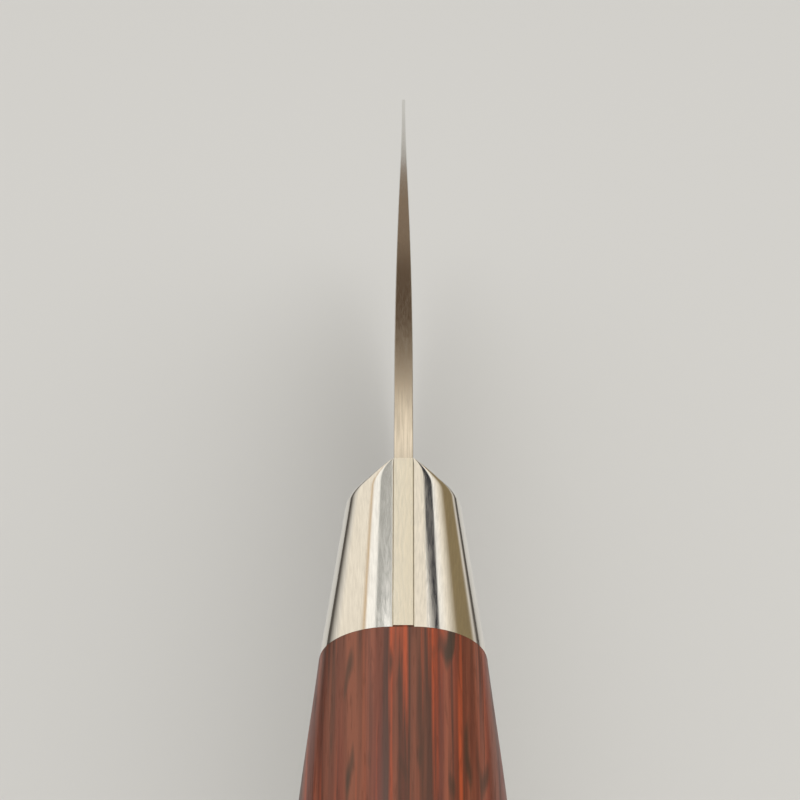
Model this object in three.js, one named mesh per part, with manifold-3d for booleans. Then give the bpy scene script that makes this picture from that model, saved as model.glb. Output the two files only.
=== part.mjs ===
// A gyuto, the Japanese chef's knife, with a flared metal bolster and a riveted wooden handle.
// Millimetres. +X points to the tip, +Y to the knife's left side, +Z from the edge to the spine.
import * as THREE from 'three';
import { mergeVertices } from 'three/addons/utils/BufferGeometryUtils.js';
import Module from 'manifold-3d';

const wasm = await Module();
wasm.setup();

// Blade outline: the heel is at x = 0 and the flat of the edge lies on z = 0.
const EDGE_LENGTH = 180;
const BLADE_HEIGHT = 44;
const TIP_DROP = 24;
const SPINE_CURVE_POWER = 1.9;
const FLAT_EDGE = 35;
const BELLY_POWER = 3.6;
const TIP_BLUNT = 0.5;
const NECK_LENGTH = 10;
const NECK_DEPTH = 18.5;
const CHOIL_RADIUS = 8;

// Blade grind: a flat upper band with a slight taper, a convex band above the edge and a small edge bevel.
const SPINE_THICKNESS = 1.8;
const TIP_THICKNESS = 0.4;
const TAPER_START = 15;
const TAPER_END = 160;
const SPINE_EASE = 0.2;
const FLAT_SLOPE_PER_HALF = 0.011;
const GRIND_START = -8;
const GRIND_FULL = 10;
const RACK_FACE_END = 30;
const GRIND_WIDTH = 22;
const BEVEL_HEIGHT = 0.6;
const BEVEL_HALF = 0.15;
const GRIND_SHARE_AT_TIP = 0.55;
const BEVEL_SHARE_AT_TIP = 0.25;
const EASE_SHARE_AT_TIP = 0.15;

// Sections of bolster and handle: a crown of one radius above and below, with corners to straight sides.
const CROWN_RADIUS = 12;
const CROWN_FLAT = 0.4;

// Bolster: two halves on the tang, with a nose that flares from the blade and flanks that widen behind it.
const BOLSTER_LENGTH = 35;
const BOLSTER_STEP = 0.3;
const NOSE_LENGTH = 6.2;
const NOSE_LIP = 0.05;
const NOSE_CORNER_BEHIND = 3.8;
const NOSE_CORNER_HALF = 4;
const SHOULDER_HALF = 5.3;
const JOINT_HALF = 7.25;
const JOINT_RISE = -2.15;
const JOINT_DEPTH = 22.6;
const BOLSTER_CORNER = 3;
const BOLSTER_SQUARENESS = 5;

// Bolster pins: blind, one above the other.
const PIN_RADIUS = 1.25;
const PIN_REACH = 2.6;
const PIN_BEHIND_FRONT = 20;
const UPPER_PIN_DEPTH = 6;
const LOWER_PIN_DEPTH = 15;

// Handle: one block of wood that droops, swells in the palm, narrows to a waist and ends in a rounded butt.
// Rises and depths are measured from the blade's spine.
const HANDLE_LENGTH = 104;
const SWELL_BEHIND_JOINT = 36;
const SWELL_HALF = 9.2;
const SWELL_RISE = -4.4;
const SWELL_DEPTH = 27.4;
const SWELL_CORNER = 5;
const SWELL_SQUARENESS = 3;
const WAIST_BEFORE_BUTT = 36;
const WAIST_HALF = 8.6;
const WAIST_RISE = -6.4;
const WAIST_DEPTH = 27.6;
const WAIST_CORNER = 5;
const WAIST_SQUARENESS = 3;
const BUTT_HALF = 9.6;
const BUTT_RISE = -8.8;
const BUTT_DEPTH = 33;
const BUTT_CORNER = 6;
const BUTT_SQUARENESS = 3;
const BUTT_ROUND = 6;

// Tang: as high as the bolster inside it, then sunk below the handle's back and flush with its belly.
const ROOT_OVERLAP = 1;
const TONGUE_LENGTH = 0.3;
const TONGUE_ROOT = 1;
const TANG_SINK_FRONT = 7.2;
const TANG_SINK_REAR = 13.5;
const TANG_BEFORE_BUTT = 11;
const TANG_END_RADIUS = 6;
const TANG_RECESS = 0.15;

// Handle rivets: each a female half with a sleeve and a male half with a shank.
const RIVET_HEAD_RADIUS = 4;
const RIVET_SLEEVE_RADIUS = 2.5;
const RIVET_SHANK_RADIUS = 1.5;
const RIVET_SEAT = 6.2;
const FIRST_RIVET_BEHIND_JOINT = 17;
const FIRST_RIVET_DEPTH = 13.6;
const LAST_RIVET_BEFORE_BUTT = 24;
const LAST_RIVET_DEPTH = 18.2;

// Clearances between pieces.
const GLUE_GAP = 0.3;
const HOLE_CLEARANCE = 0.15;
const END_CLEARANCE = 0.3;

// Fineness of the facets.
const ROUND_SIDES = 32;
const ARC_STEPS = 8;
const CROWN_STEPS = 8;
const GRIND_STEPS = 5;
const BLEND_STATIONS = 6;
const TIP_STATIONS = 34;
const TIP_CROWDING = 1.6;
const NOSE_STEPS = 8;
const HANDLE_STEPS = 18;
const BUTT_STEPS = 5;
const BELLY_STEPS = 14;
const MERGE_DISTANCE = 1e-5;

// Places that follow from the sizes.
const SPINE = BLADE_HEIGHT;
const TANG_HALF = SPINE_THICKNESS / 2;
const BOLSTER_FRONT = -NECK_LENGTH;
const JOINT = BOLSTER_FRONT - BOLSTER_LENGTH;
const BUTT = JOINT - HANDLE_LENGTH;
const TANG_SHOULDER = JOINT + TONGUE_LENGTH;
const TANG_END = BUTT + TANG_BEFORE_BUTT;
const ROOT = BOLSTER_FRONT - ROOT_OVERLAP;
const CUT_MARGIN = 5;

const FIRST_RIVET = new THREE.Vector2(JOINT - FIRST_RIVET_BEHIND_JOINT, SPINE - FIRST_RIVET_DEPTH);
const LAST_RIVET = new THREE.Vector2(BUTT + LAST_RIVET_BEFORE_BUTT, SPINE - LAST_RIVET_DEPTH);
const MIDDLE_RIVET = FIRST_RIVET.clone().lerp(LAST_RIVET, 0.5);
const RIVETS = [
  { name: 'front', x: FIRST_RIVET.x, z: FIRST_RIVET.y },
  { name: 'middle', x: MIDDLE_RIVET.x, z: MIDDLE_RIVET.y },
  { name: 'rear', x: LAST_RIVET.x, z: LAST_RIVET.y },
];

const PIN_X = BOLSTER_FRONT - PIN_BEHIND_FRONT;
const PINS = [
  { name: 'upper', z: SPINE - UPPER_PIN_DEPTH },
  { name: 'lower', z: SPINE - LOWER_PIN_DEPTH },
];

const { lerp, smoothstep } = THREE.MathUtils;

// Turns a closed geometry into a solid that can be cut and joined.
function toSolid(geometry) {
  geometry.deleteAttribute('normal');
  geometry.deleteAttribute('uv');
  const merged = mergeVertices(geometry, MERGE_DISTANCE);
  const corners = merged.index.array;
  const triangles = [];
  for (let i = 0; i < corners.length; i += 3) {
    const [a, b, c] = corners.slice(i, i + 3);
    const isFlat = a === b || b === c || c === a;
    if (!isFlat) triangles.push(a, b, c);
  }
  const vertProperties = new Float32Array(merged.attributes.position.array);
  const triVerts = new Uint32Array(triangles);
  return new wasm.Manifold(new wasm.Mesh({ numProp: 3, vertProperties, triVerts }));
}

// Turns a solid back into a geometry.
function toGeometry(solid) {
  const { vertProperties, triVerts } = solid.getMesh();
  const geometry = new THREE.BufferGeometry();
  geometry.setAttribute('position', new THREE.BufferAttribute(vertProperties, 3));
  geometry.setIndex(new THREE.BufferAttribute(triVerts, 1));
  geometry.computeVertexNormals();
  return geometry;
}

// Skins a row of sections, each counter-clockwise as seen from +X, and closes both ends.
function loft(sections) {
  const count = sections[0].length;
  const last = (sections.length - 1) * count;
  const index = [];
  for (let start = 0; start < last; start += count) {
    for (let i = 0; i < count; i += 1) {
      const a = start + i;
      const b = start + ((i + 1) % count);
      index.push(a, b, b + count, a, b + count, a + count);
    }
  }
  const flatten = (section) => section.map((point) => new THREE.Vector2(point.y, point.z));
  for (const [a, b, c] of THREE.ShapeUtils.triangulateShape(flatten(sections[0]), [])) {
    index.push(c, b, a);
  }
  for (const [a, b, c] of THREE.ShapeUtils.triangulateShape(flatten(sections.at(-1)), [])) {
    index.push(last + a, last + b, last + c);
  }
  const geometry = new THREE.BufferGeometry().setFromPoints(sections.flat());
  geometry.setIndex(index);
  return toSolid(geometry);
}

// Extrudes an outline drawn in X and Z to a slab centred on the knife's middle plane.
function slab(outline, thickness) {
  const options = { depth: thickness, bevelEnabled: false, curveSegments: ARC_STEPS };
  const geometry = new THREE.ExtrudeGeometry(outline, options);
  geometry.translate(0, 0, -thickness / 2);
  geometry.rotateX(Math.PI / 2);
  return toSolid(geometry);
}

// A round bar across the knife, from one y to another.
function crossBar(x, z, radius, fromY, toY) {
  const geometry = new THREE.CylinderGeometry(radius, radius, toY - fromY, ROUND_SIDES);
  geometry.translate(x, (fromY + toY) / 2, z);
  return toSolid(geometry);
}

// Values from one number to another, closer together near the end when the power is above one.
function spread(from, to, steps, power = 1) {
  const values = [];
  for (let i = 0; i <= steps; i += 1) {
    values.push(lerp(from, to, 1 - (1 - i / steps) ** power));
  }
  return values;
}

// Height of the cutting edge: flat behind, then a belly that rises to the tip.
function edgeHeight(x) {
  const share = Math.max(0, (x - FLAT_EDGE) / (EDGE_LENGTH - FLAT_EDGE));
  return (SPINE - TIP_DROP) * share ** BELLY_POWER;
}

// Height of the spine: a steady fall from the bolster to the tip.
function spineHeight(x) {
  const share = Math.max(0, (x - BOLSTER_FRONT) / (EDGE_LENGTH - BOLSTER_FRONT));
  return SPINE - (TIP_DROP - TIP_BLUNT) * share ** SPINE_CURVE_POWER;
}

// Thickness at the spine: even at the neck, then a long taper to the thin front of the blade.
function spineThickness(x) {
  return lerp(SPINE_THICKNESS, TIP_THICKNESS, smoothstep(x, TAPER_START, TAPER_END));
}

// One cross-section of the ground blade.
function bladeSection(x) {
  const top = spineHeight(x);
  const height = top - edgeHeight(x);
  const half = spineThickness(x) / 2;
  const slope = FLAT_SLOPE_PER_HALF * half * smoothstep(x, GRIND_START, GRIND_FULL);
  const ease = Math.min(SPINE_EASE, EASE_SHARE_AT_TIP * height, half / 2);
  const easeCut = ease * (1 - Math.SQRT1_2);
  const bevel = Math.min(BEVEL_HEIGHT, BEVEL_SHARE_AT_TIP * height);
  const grind = Math.min(GRIND_WIDTH, GRIND_SHARE_AT_TIP * height);
  const grindLine = height - bevel - grind;
  const grindHalf = half - slope * grindLine;
  const bevelHalf = Math.min(BEVEL_HALF, half / 2);
  const bulge = grindHalf - slope * grind - bevelHalf;

  const side = [
    [half - ease, 0],
    [half - easeCut, easeCut],
    [half - slope * ease, ease],
  ];
  for (const share of spread(0, 1, GRIND_STEPS)) {
    side.push([grindHalf - slope * grind * share - bulge * share ** 2, grindLine + grind * share]);
  }
  const left = side.map(([y, depth]) => new THREE.Vector3(x, y, top - depth));
  const right = side.map(([y, depth]) => new THREE.Vector3(x, -y, top - depth));
  return [new THREE.Vector3(x, 0, top - height), ...left.reverse(), ...right];
}

// The ground part of the blade, cut to the heel, the choil and the neck's underside.
function makeGroundBlade() {
  const stations = [
    ROOT,
    ...spread(GRIND_START, GRIND_FULL, BLEND_STATIONS),
    ...spread(RACK_FACE_END, EDGE_LENGTH, TIP_STATIONS, TIP_CROWDING),
  ];
  const neckUnderside = SPINE - NECK_DEPTH;
  const outline = new THREE.Shape();
  outline.moveTo(ROOT, neckUnderside);
  outline.lineTo(-CHOIL_RADIUS, neckUnderside);
  outline.absarc(-CHOIL_RADIUS, neckUnderside - CHOIL_RADIUS, CHOIL_RADIUS, Math.PI / 2, 0, true);
  outline.lineTo(0, -CUT_MARGIN);
  outline.lineTo(EDGE_LENGTH + CUT_MARGIN, -CUT_MARGIN);
  outline.lineTo(EDGE_LENGTH + CUT_MARGIN, SPINE + CUT_MARGIN);
  outline.lineTo(ROOT, SPINE + CUT_MARGIN);
  return loft(stations.map(bladeSection)).intersect(slab(outline, SPINE_THICKNESS + CUT_MARGIN));
}

// Top and bottom of the bolster at a distance behind its front.
function bolsterLevels(behind) {
  const share = behind / BOLSTER_LENGTH;
  return {
    top: SPINE + lerp(BOLSTER_STEP, JOINT_RISE, share),
    bottom: SPINE - lerp(NECK_DEPTH + BOLSTER_STEP, JOINT_DEPTH, share),
  };
}

const handleForm = new THREE.CubicInterpolant(
  [0, SWELL_BEHIND_JOINT, HANDLE_LENGTH - WAIST_BEFORE_BUTT, HANDLE_LENGTH - BUTT_ROUND],
  [
    JOINT_HALF, JOINT_RISE, JOINT_DEPTH, BOLSTER_CORNER, BOLSTER_SQUARENESS,
    SWELL_HALF, SWELL_RISE, SWELL_DEPTH, SWELL_CORNER, SWELL_SQUARENESS,
    WAIST_HALF, WAIST_RISE, WAIST_DEPTH, WAIST_CORNER, WAIST_SQUARENESS,
    BUTT_HALF, BUTT_RISE, BUTT_DEPTH, BUTT_CORNER, BUTT_SQUARENESS,
  ],
  5,
);

// Half width, levels and corners of the handle at a distance behind the joint.
function handleAt(behind) {
  const [half, rise, depth, corner, squareness] = handleForm.evaluate(behind);
  return { half, top: SPINE + rise, bottom: SPINE - depth, corner, squareness };
}

// Outline of the tang, with a step down just ahead of the joint and a belly that follows the handle's.
function tangOutline() {
  const front = bolsterLevels(0);
  const rear = bolsterLevels(BOLSTER_LENGTH);
  const shoulder = bolsterLevels(BOLSTER_LENGTH - TONGUE_LENGTH);
  const outline = new THREE.Shape();
  outline.moveTo(BOLSTER_FRONT, front.bottom);
  outline.lineTo(BOLSTER_FRONT, front.top);
  outline.lineTo(TANG_SHOULDER, shoulder.top);
  outline.lineTo(TANG_SHOULDER, SPINE - TANG_SINK_FRONT);
  addTangBack(outline, 0);
  const reach = JOINT - TANG_END;
  for (const behind of spread(reach, 0, BELLY_STEPS)) {
    outline.lineTo(JOINT - behind, handleAt(behind).bottom + TANG_RECESS);
  }
  outline.lineTo(JOINT, rear.bottom);
  return outline;
}

// Draws the sunk back of the tang and its rounded end; a clearance widens both for the slot.
function addTangBack(outline, clearance) {
  const end = TANG_END - clearance;
  const rearTop = SPINE - TANG_SINK_REAR + clearance;
  outline.lineTo(end + TANG_END_RADIUS, rearTop);
  outline.quadraticCurveTo(end, rearTop, end, rearTop - TANG_END_RADIUS);
}

// Outline of the slot that is sawn into the wood from the belly.
function slotOutline() {
  const outline = new THREE.Shape();
  outline.moveTo(TANG_SHOULDER + CUT_MARGIN, -CUT_MARGIN);
  outline.lineTo(TANG_SHOULDER + CUT_MARGIN, SPINE - TANG_SINK_FRONT + GLUE_GAP);
  outline.lineTo(TANG_SHOULDER, SPINE - TANG_SINK_FRONT + GLUE_GAP);
  addTangBack(outline, GLUE_GAP);
  outline.lineTo(TANG_END - GLUE_GAP, -CUT_MARGIN);
  return outline;
}

// The blade: ground part and tang in one piece, drilled for the pins and the rivets.
function makeBlade() {
  let blade = makeGroundBlade().add(slab(tangOutline(), SPINE_THICKNESS));
  const pinHole = PIN_RADIUS + HOLE_CLEARANCE;
  for (const { z } of PINS) {
    blade = blade.subtract(crossBar(PIN_X, z, pinHole, -CUT_MARGIN, CUT_MARGIN));
  }
  const sleeveHole = RIVET_SLEEVE_RADIUS + HOLE_CLEARANCE;
  for (const { x, z } of RIVETS) {
    blade = blade.subtract(crossBar(x, z, sleeveHole, -CUT_MARGIN, CUT_MARGIN));
  }
  return blade;
}

// The left side of a crowned section, from its bottom to its top, standing on a plane beside the middle.
function flank(x, inner, { half, top, bottom, corner, squareness }) {
  const cornerHeight = Math.min(corner, half - inner);
  const upper = [];
  const lower = [];
  for (const angle of spread(0, Math.PI / 2, CROWN_STEPS)) {
    const across = Math.max(0, Math.cos(angle));
    const up = Math.sin(angle);
    const radius = (across ** squareness + up ** squareness) ** (-1 / squareness);
    const y = lerp(inner, half, radius * across);
    const crown = Math.max(0, y - TANG_HALF) ** 2 / (2 * CROWN_RADIUS);
    const drop = crown + cornerHeight * (1 - radius * up);
    upper.push(new THREE.Vector3(x, y, top - drop));
    lower.push(new THREE.Vector3(x, y, bottom + drop));
  }
  return [...lower.reverse(), ...upper];
}

// The same side mirrored to the knife's right, from its top to its bottom.
function mirrored(section) {
  return section.map((point) => new THREE.Vector3(point.x, -point.y, point.z)).reverse();
}

// Sections of the bolster's left half, from the joint to the nose.
function bolsterSections() {
  const flankSlope = (JOINT_HALF - SHOULDER_HALF) / (BOLSTER_LENGTH - NOSE_LENGTH);
  const third = NOSE_LENGTH / 3;
  const nose = new THREE.CubicBezierCurve(
    new THREE.Vector2(NOSE_LENGTH, SHOULDER_HALF),
    new THREE.Vector2(NOSE_LENGTH - third, SHOULDER_HALF - flankSlope * third),
    new THREE.Vector2(NOSE_CORNER_BEHIND, NOSE_CORNER_HALF),
    new THREE.Vector2(0, TANG_HALF + NOSE_LIP),
  );
  const plan = [new THREE.Vector2(BOLSTER_LENGTH, JOINT_HALF), ...nose.getPoints(NOSE_STEPS)];
  return plan.map(({ x: behind, y: half }) => {
    const corners = { corner: BOLSTER_CORNER, squareness: BOLSTER_SQUARENESS };
    return flank(BOLSTER_FRONT - behind, TANG_HALF, { half, ...bolsterLevels(behind), ...corners });
  });
}

// One half of the bolster with its two blind pin holes.
function makeBolsterHalf(isLeft) {
  const sections = bolsterSections();
  let half = loft(isLeft ? sections : sections.map(mirrored));
  const holeEnd = TANG_HALF + PIN_REACH + END_CLEARANCE;
  for (const { z } of PINS) {
    half = half.subtract(crossBar(PIN_X, z, PIN_RADIUS + HOLE_CLEARANCE, -holeEnd, holeEnd));
  }
  return half;
}

// The outside of the handle, without its slot and holes.
function makeHandleForm() {
  const butt = handleAt(HANDLE_LENGTH - BUTT_ROUND);
  const sections = spread(Math.PI / 2, 0, BUTT_STEPS).slice(0, -1).map((angle) => {
    const inset = BUTT_ROUND * (1 - Math.cos(angle));
    const { half, top, bottom, ...corners } = butt;
    const inner = { half: half - inset, top: top - inset, bottom: bottom + inset, ...corners };
    return { x: BUTT + BUTT_ROUND * (1 - Math.sin(angle)), ...inner };
  });
  for (const behind of spread(HANDLE_LENGTH - BUTT_ROUND, 0, HANDLE_STEPS)) {
    sections.push({ x: JOINT - behind, ...handleAt(behind) });
  }
  return loft(sections.map(({ x, ...form }) => {
    const left = flank(x, CROWN_FLAT, form);
    return [...left, ...mirrored(left)];
  }));
}

// Outline of the tongue of wood that fills the step of the tang, between the bolster halves.
function tongueOutline() {
  const low = SPINE - TANG_SINK_FRONT + 2 * GLUE_GAP;
  const high = SPINE + JOINT_RISE - TANG_RECESS;
  const outline = new THREE.Shape();
  outline.moveTo(JOINT - TONGUE_ROOT, low);
  outline.lineTo(TANG_SHOULDER, low);
  outline.lineTo(TANG_SHOULDER, high);
  outline.lineTo(JOINT - TONGUE_ROOT, high);
  return outline;
}

// The wooden handle: slotted for the tang, with its tongue, and counterbored for the rivets.
function makeHandle(form) {
  const slot = slab(slotOutline(), SPINE_THICKNESS);
  let handle = form.subtract(slot).add(slab(tongueOutline(), SPINE_THICKNESS));
  const farSide = 2 * SWELL_HALF;
  for (const { x, z } of RIVETS) {
    handle = handle
      .subtract(crossBar(x, z, RIVET_SLEEVE_RADIUS + HOLE_CLEARANCE, -farSide, farSide))
      .subtract(crossBar(x, z, RIVET_HEAD_RADIUS + HOLE_CLEARANCE, RIVET_SEAT, farSide))
      .subtract(crossBar(x, z, RIVET_HEAD_RADIUS + HOLE_CLEARANCE, -farSide, -RIVET_SEAT));
  }
  return handle;
}

// Turns a rivet half about the cross axis and trims its head flush with the wood.
function makeRivetHalf(profile, { x, z }, isLeft, form) {
  const points = profile.map(([radius, y]) => new THREE.Vector2(radius, y));
  const geometry = new THREE.LatheGeometry(points, ROUND_SIDES);
  if (!isLeft) geometry.rotateZ(Math.PI);
  geometry.translate(x, 0, z);
  return toSolid(geometry).intersect(form);
}

// Profile of the female half: a head and a blind sleeve, as radius and distance across.
function femaleProfile() {
  const bore = RIVET_SHANK_RADIUS + HOLE_CLEARANCE;
  const sleeveEnd = END_CLEARANCE - RIVET_SEAT;
  const outside = 2 * SWELL_HALF;
  return [
    [0, RIVET_SEAT],
    [bore, RIVET_SEAT],
    [bore, sleeveEnd],
    [RIVET_SLEEVE_RADIUS, sleeveEnd],
    [RIVET_SLEEVE_RADIUS, RIVET_SEAT],
    [RIVET_HEAD_RADIUS, RIVET_SEAT],
    [RIVET_HEAD_RADIUS, outside],
    [0, outside],
  ];
}

// Profile of the male half: a head and a shank that fits in the sleeve.
function maleProfile() {
  const shankEnd = END_CLEARANCE - RIVET_SEAT;
  const outside = 2 * SWELL_HALF;
  return [
    [0, shankEnd],
    [RIVET_SHANK_RADIUS, shankEnd],
    [RIVET_SHANK_RADIUS, RIVET_SEAT],
    [RIVET_HEAD_RADIUS, RIVET_SEAT],
    [RIVET_HEAD_RADIUS, outside],
    [0, outside],
  ];
}

// Looks of the pieces.
const bladeSteel = () => new THREE.MeshStandardMaterial({ color: 0xcdc5b4, roughness: 0.28, metalness: 1 });
const nickelSilver = () => new THREE.MeshStandardMaterial({ color: 0xe6e0cf, roughness: 0.12, metalness: 1 });
const redWood = () => new THREE.MeshStandardMaterial({ color: 0x7c3a26, roughness: 0.35, metalness: 0 });

const knife = new THREE.Group();
knife.position.x = -(EDGE_LENGTH + BUTT) / 2;

function addPiece(name, solid, material) {
  const mesh = new THREE.Mesh(toGeometry(solid), material);
  mesh.name = name;
  knife.add(mesh);
}

const form = makeHandleForm();
addPiece('blade', makeBlade(), bladeSteel());
addPiece('bolster_left', makeBolsterHalf(true), nickelSilver());
addPiece('bolster_right', makeBolsterHalf(false), nickelSilver());
for (const { name, z } of PINS) {
  const pinEnd = TANG_HALF + PIN_REACH;
  addPiece(`bolster_pin_${name}`, crossBar(PIN_X, z, PIN_RADIUS, -pinEnd, pinEnd), nickelSilver());
}
addPiece('handle', makeHandle(form), redWood());
for (const { name, ...place } of RIVETS) {
  addPiece(`rivet_${name}_female`, makeRivetHalf(femaleProfile(), place, true, form), nickelSilver());
  addPiece(`rivet_${name}_male`, makeRivetHalf(maleProfile(), place, false, form), nickelSilver());
}

export default knife;
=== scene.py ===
"""A studio scene of a gyuto, the Japanese chef's knife, built around its packed construction model.

Metres. +X points to the tip, +Y to the knife's left side, +Z from the edge to the spine.
"""
import logging
import math
from collections.abc import Sequence
from dataclasses import dataclass, field, replace
from enum import Enum
from typing import Any, NamedTuple

import bmesh
import bpy
from mathutils import Matrix, Vector


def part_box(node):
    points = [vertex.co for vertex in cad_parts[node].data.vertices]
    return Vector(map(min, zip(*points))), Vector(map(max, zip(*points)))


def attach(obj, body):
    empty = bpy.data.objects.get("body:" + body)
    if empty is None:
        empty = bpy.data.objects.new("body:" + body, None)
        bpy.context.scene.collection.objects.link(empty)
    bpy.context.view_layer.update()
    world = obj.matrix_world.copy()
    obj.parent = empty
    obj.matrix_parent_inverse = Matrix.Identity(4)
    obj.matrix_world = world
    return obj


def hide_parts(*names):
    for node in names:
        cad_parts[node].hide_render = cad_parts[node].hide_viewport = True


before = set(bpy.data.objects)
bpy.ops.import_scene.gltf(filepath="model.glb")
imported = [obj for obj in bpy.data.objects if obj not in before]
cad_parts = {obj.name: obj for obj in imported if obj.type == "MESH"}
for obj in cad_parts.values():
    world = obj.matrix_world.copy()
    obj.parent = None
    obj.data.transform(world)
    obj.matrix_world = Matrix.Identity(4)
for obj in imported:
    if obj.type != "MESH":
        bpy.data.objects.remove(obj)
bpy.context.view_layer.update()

log = logging.getLogger("gyuto")

Colour = tuple[float, float, float]
PerAxis = tuple[float, float, float]
Point = tuple[float, float]
Span = tuple[float, float]
Stop = tuple[float, Colour]
Ring = list[Vector]
Mesh = bmesh.types.BMesh
Vert = bmesh.types.BMVert
Edge = bmesh.types.BMEdge
Material = bpy.types.Material
Socket = bpy.types.NodeSocket

BODY = "root"
SHARP_ANGLE = math.radians(32)
QUARTER_TURN = math.radians(90)
HALVINGS = 30
BLACK = (0.0, 0.0, 0.0)
UNIT = (0.0, 1.0)
# Points closer than the merge distance become one, and a tiny length counts as nothing.
MERGE_DISTANCE = 1e-7
TINY = 1e-9


class Side(Enum):
    """The two sides of the knife, as the sign of Y."""

    LEFT = 1
    RIGHT = -1

    @property
    def word(self) -> str:
        """The side's name in a piece's name."""
        return self.name.lower()


class Slot(Enum):
    """The record's material slots."""

    BLADE = "blade_steel"
    BOLSTER = "bolster_metal"
    HANDLE = "handle_wood"
    RIVET = "rivet_metal"


def between(low: float, high: float, share: float) -> float:
    """The value at a share of the way from low to high."""
    return low + (high - low) * share


def eased(value: float, low: float, high: float) -> float:
    """0 below low, 1 above high and a smooth rise between them."""
    share = min(1.0, max(0.0, (value - low) / (high - low)))
    return share * share * (3 - 2 * share)


def spread(low: float, high: float, steps: int, power: float = 1.0) -> list[float]:
    """Values from low to high, in equal steps or, with a power above 1, crowding towards high."""
    return [between(low, high, 1 - (1 - n / steps) ** power) for n in range(steps + 1)]


def on_curve(places: Sequence[float], values: Sequence[float], at: float) -> float:
    """Reads a smooth curve through given points.

    Args:
        places: Where the points lie, in order.
        values: Their values.
        at: Where the curve is read.

    Returns:
        The curve's value there.
    """
    chords = [(b - a) / (q - p) for a, b, p, q in zip(values, values[1:], places, places[1:])]
    last = len(chords) - 1
    span = sum(at > place for place in places[1:-1])
    length = places[span + 1] - places[span]
    share = (at - places[span]) / length
    slope_in = (chords[max(0, span - 1)] + chords[span]) / 2
    slope_out = (chords[span] + chords[min(last, span + 1)]) / 2
    bend = share * (1 - share) ** 2 * slope_in - share**2 * (1 - share) * slope_out
    return between(values[span], values[span + 1], eased(share, 0.0, 1.0)) + bend * length


@dataclass(frozen=True)
class Form:
    """A cross-section with a crown above and below, rounded corners and straight sides."""

    half: float
    top: float
    bottom: float
    corner: float
    squareness: float
    crown: float

    def inset(self, amount: float) -> "Form":
        """The same section, smaller by an amount all round."""
        return replace(self, half=self.half - amount, top=self.top - amount, bottom=self.bottom + amount)

    def corner_point(self, inner: float, angle: float) -> Point:
        """A point of the crown and its corner.

        Args:
            inner: Half width of the flat middle.
            angle: 0 at the straight side and a right angle at the middle.

        Returns:
            Its half width and its drop below the top.
        """
        across, up = abs(math.cos(angle)), math.sin(angle)
        radius = (across**self.squareness + up**self.squareness) ** (-1 / self.squareness)
        y = between(inner, self.half, radius * across)
        height = min(self.corner, self.half - inner)
        return y, (y - inner) ** 2 / (2 * self.crown) + height * (1 - radius * up)

    def flank(self, inner: float, steps: int) -> list[Point]:
        """Draws the left side from the bottom to the top.

        Args:
            inner: Half width of the flat middle.
            steps: How many steps each crown has.

        Returns:
            The side's points as (y, z).
        """
        crown = [self.corner_point(inner, angle) for angle in spread(0.0, QUARTER_TURN, steps)]
        lower = [(y, self.bottom + drop) for y, drop in reversed(crown)]
        return lower + [(y, self.top - drop) for y, drop in crown]

    def flank_at(self, inner: float, z: float) -> float:
        """Finds the half width at a height.

        Args:
            inner: Half width of the flat middle.
            z: The height.

        Returns:
            The half width there.
        """
        depth = min(self.top - z, z - self.bottom)
        low, high = 0.0, QUARTER_TURN
        for _ in range(HALVINGS):
            middle = (low + high) / 2
            is_deeper = self.corner_point(inner, middle)[1] > depth
            low, high = (middle, high) if is_deeper else (low, middle)
        return self.corner_point(inner, low)[0]


def extrude(bm: Mesh, edges: Sequence[Edge]) -> tuple[list[Vert], list[Edge]]:
    """Extrudes edges on the spot.

    Args:
        bm: The mesh.
        edges: Its edges.

    Returns:
        The new vertices and the new edges along them.
    """
    made = bmesh.ops.extrude_edge_only(bm, edges=edges)["geom"]
    verts = [item for item in made if isinstance(item, Vert)]
    return verts, [item for item in made if isinstance(item, Edge)]


def loft(rings: Sequence[Ring]) -> Mesh:
    """Skins closed rings of equally many points and closes both ends.

    Args:
        rings: The rings in order along the piece.

    Returns:
        A closed mesh with its faces pointing out.
    """
    bm = bmesh.new()
    order = bm.verts.layers.int.new("order")
    verts = bmesh.ops.create_circle(bm, segments=len(rings[0]), radius=1.0)["verts"]
    for number, vert in enumerate(verts):
        vert[order] = number
        vert.co = rings[0][number]
    edges = first = list(bm.edges)
    for ring in rings[1:]:
        verts, edges = extrude(bm, edges)
        for vert in verts:
            vert.co = ring[vert[order]]
    bmesh.ops.edgeloop_fill(bm, edges=first)
    bmesh.ops.edgeloop_fill(bm, edges=edges)
    bmesh.ops.remove_doubles(bm, verts=bm.verts, dist=MERGE_DISTANCE)
    bmesh.ops.dissolve_degenerate(bm, dist=MERGE_DISTANCE, edges=bm.edges)
    bmesh.ops.recalc_face_normals(bm, faces=bm.faces)
    return bm


def make_piece(name: str, bm: Mesh, nodes: Sequence[str], slot: Slot, *materials: Material) -> None:
    """Turns a finished mesh into a piece of the knife, smooth except along its sharp edges.

    Args:
        name: The piece's name.
        bm: Its mesh, which is freed.
        nodes: The construction nodes that it stands for.
        slot: Not used; it names the material slot of the finish.
        materials: Its materials, in the order of the mesh's material numbers.
    """
    for face in bm.faces:
        face.smooth = True
    for edge in bm.edges:
        edge.smooth = edge.calc_face_angle(0.0) < SHARP_ANGLE
    mesh = bpy.data.meshes.new(name)
    bm.to_mesh(mesh)
    bm.free()
    for material in materials:
        mesh.materials.append(material)
    piece = bpy.data.objects.new(name, mesh)
    bpy.context.scene.collection.objects.link(piece)
    piece.modifiers.new("flat_faces_stay_flat", "WEIGHTED_NORMAL").keep_sharp = True
    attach(piece, BODY)
    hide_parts(*nodes)
    log.info("%s: %d faces for %s", name, len(mesh.polygons), ", ".join(nodes))


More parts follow.
